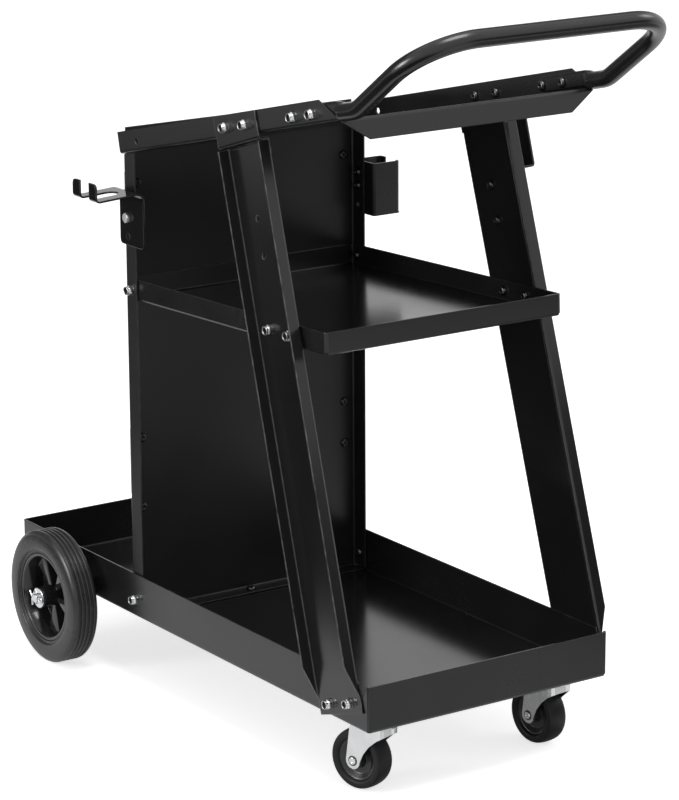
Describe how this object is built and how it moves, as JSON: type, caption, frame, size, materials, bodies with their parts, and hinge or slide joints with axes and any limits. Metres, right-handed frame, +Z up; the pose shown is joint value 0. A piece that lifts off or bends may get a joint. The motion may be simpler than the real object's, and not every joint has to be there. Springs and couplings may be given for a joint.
{
  "type": "welding cart",
  "caption": "Black folded-steel welding cart with a sloping top tray, middle shelf, cylinder deck behind a back panel, bent-tube push handle, rear wheels and front swivel casters",
  "frame": {"origin": "on the floor, under the middle of the bounding box", "axes": "+X to the handle and caster end, +Y to the right of a person at the handle, +Z up"},
  "size_m": [0.8038, 0.41, 0.7912],
  "materials": {
    "black_coat": "satin black powder coat",
    "zinc_plate": "bright zinc plate",
    "tyre_rubber": "semi-matt black solid rubber",
    "rim_plastic": "black moulded plastic",
    "caster_rubber": "black moulded rubber"
  },
  "bodies": {
    "cart": {"back_panel": "black_coat", "bottom_tray": "black_coat", "cable_hook": "black_coat", "cable_hook_bolt_1": "zinc_plate", "cable_hook_bolt_2": "zinc_plate", "handle": "black_coat", "left_axle_saddle": "black_coat", "left_axle_spacer": "zinc_plate", "left_caster_plate": "zinc_plate", "left_handle_bolt_1": "zinc_plate", "left_handle_bolt_2": "zinc_plate", "left_leg": "black_coat", "left_leg_foot_bolt_1": "zinc_plate", "left_leg_foot_bolt_2": "zinc_plate", "left_leg_tab_bolt_1": "zinc_plate", "left_leg_tab_bolt_2": "zinc_plate", "left_panel_tray_bolt": "zinc_plate", "left_shelf_leg_bolt_1": "zinc_plate", "left_shelf_leg_bolt_2": "zinc_plate", "left_shelf_rear_bolt": "zinc_plate", "left_split_pin": "zinc_plate", "left_wheel_washer": "zinc_plate", "lower_cylinder_cradle": "black_coat", "middle_shelf": "black_coat", "panel_foot_bolt": "zinc_plate", "rear_axle": "zinc_plate", "right_axle_saddle": "black_coat", "right_axle_spacer": "zinc_plate", "right_caster_plate": "zinc_plate", "right_handle_bolt_1": "zinc_plate", "right_handle_bolt_2": "zinc_plate", "right_leg": "black_coat", "right_leg_foot_bolt_1": "zinc_plate", "right_leg_foot_bolt_2": "zinc_plate", "right_leg_tab_bolt_1": "zinc_plate", "right_leg_tab_bolt_2": "zinc_plate", "right_panel_tray_bolt": "zinc_plate", "right_shelf_leg_bolt_1": "zinc_plate", "right_shelf_leg_bolt_2": "zinc_plate", "right_shelf_rear_bolt": "zinc_plate", "right_split_pin": "zinc_plate", "right_wheel_washer": "zinc_plate", "rod_holder": "black_coat", "rod_holder_bolt_1": "zinc_plate", "rod_holder_bolt_2": "zinc_plate", "top_tray": "black_coat", "torch_hook": "black_coat", "torch_hook_bolt": "zinc_plate", "upper_cylinder_cradle": "black_coat"},
    "left_wheel": {"left_wheel_rim": "rim_plastic", "left_wheel_tyre": "tyre_rubber"},
    "right_wheel": {"right_wheel_rim": "rim_plastic", "right_wheel_tyre": "tyre_rubber"},
    "left_swivel": {"left_caster_fork": "zinc_plate", "left_caster_axle": "zinc_plate"},
    "right_swivel": {"right_caster_fork": "zinc_plate", "right_caster_axle": "zinc_plate"},
    "left_roller": {"left_caster_wheel": "caster_rubber"},
    "right_roller": {"right_caster_wheel": "caster_rubber"}
  },
  "joints": [
    {"name": "left_wheel_turn", "type": "hinge", "parent": "cart", "child": "left_wheel", "pos_m": [-0.28387, -0.1761, 0.075], "axis": [0, 1, 0], "continuous": true},
    {"name": "right_wheel_turn", "type": "hinge", "parent": "cart", "child": "right_wheel", "pos_m": [-0.28387, 0.1799, 0.075], "axis": [0, 1, 0], "continuous": true},
    {"name": "left_caster_swivel", "type": "hinge", "parent": "cart", "child": "left_swivel", "pos_m": [0.26213, -0.1081, 0.07], "axis": [0, 0, 1], "continuous": true},
    {"name": "right_caster_swivel", "type": "hinge", "parent": "cart", "child": "right_swivel", "pos_m": [0.26213, 0.1119, 0.07], "axis": [0, 0, 1], "continuous": true},
    {"name": "left_roller_turn", "type": "hinge", "parent": "left_swivel", "child": "left_roller", "pos_m": [0.23727, -0.1157, 0.032], "axis": [-0.2924, 0.9563, 0], "continuous": true},
    {"name": "right_roller_turn", "type": "hinge", "parent": "right_swivel", "child": "right_roller", "pos_m": [0.23623, 0.10963, 0.032], "axis": [-0.0872, 0.9962, 0], "continuous": true}
  ]
}
